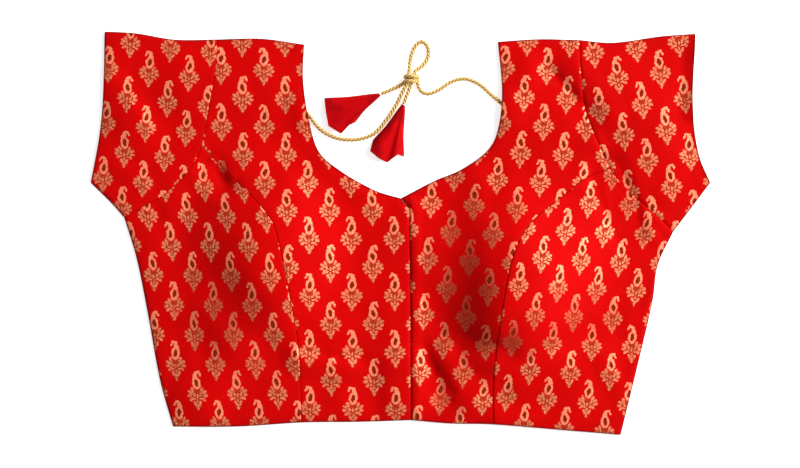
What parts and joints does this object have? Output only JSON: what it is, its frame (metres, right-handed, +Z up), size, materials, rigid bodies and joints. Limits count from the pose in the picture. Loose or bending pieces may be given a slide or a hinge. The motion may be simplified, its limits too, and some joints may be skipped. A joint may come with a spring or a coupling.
{
  "type": "choli blouse",
  "caption": "Short-sleeved princess-seamed choli blouse in figured brocade, laid flat with its front up, with a bowed tie cord and cloth tassels inside the neck",
  "frame": {"origin": "centre of the garment's box at the surface it lies on; the tie cord and tassels are left out of that box", "axes": "+X toward the wearer's left sleeve, +Y toward the shoulders, +Z up from the surface, out of the front"},
  "size_m": [0.5714, 0.3722, 0.0292],
  "materials": {
    "brocade": "satin-sheen red silk-blend brocade woven with small peach-gold paisley buti",
    "gold_cord": "twisted metallic-yarn cord, soft gold sheen",
    "plain_red": "plain red satin cloth"
  },
  "bodies": {
    "root": {"right_centre_front": "brocade", "right_side_front": "brocade", "left_centre_front": "brocade", "left_side_front": "brocade", "back": "brocade", "right_sleeve": "brocade", "left_sleeve": "brocade", "dori_right": "gold_cord", "dori_loop": "gold_cord", "dori_right_tail": "gold_cord", "dori_left": "gold_cord", "dori_left_tail": "gold_cord", "dori_knot": "gold_cord", "tassel_left": "plain_red", "tassel_right": "plain_red"}
  },
  "joints": []
}
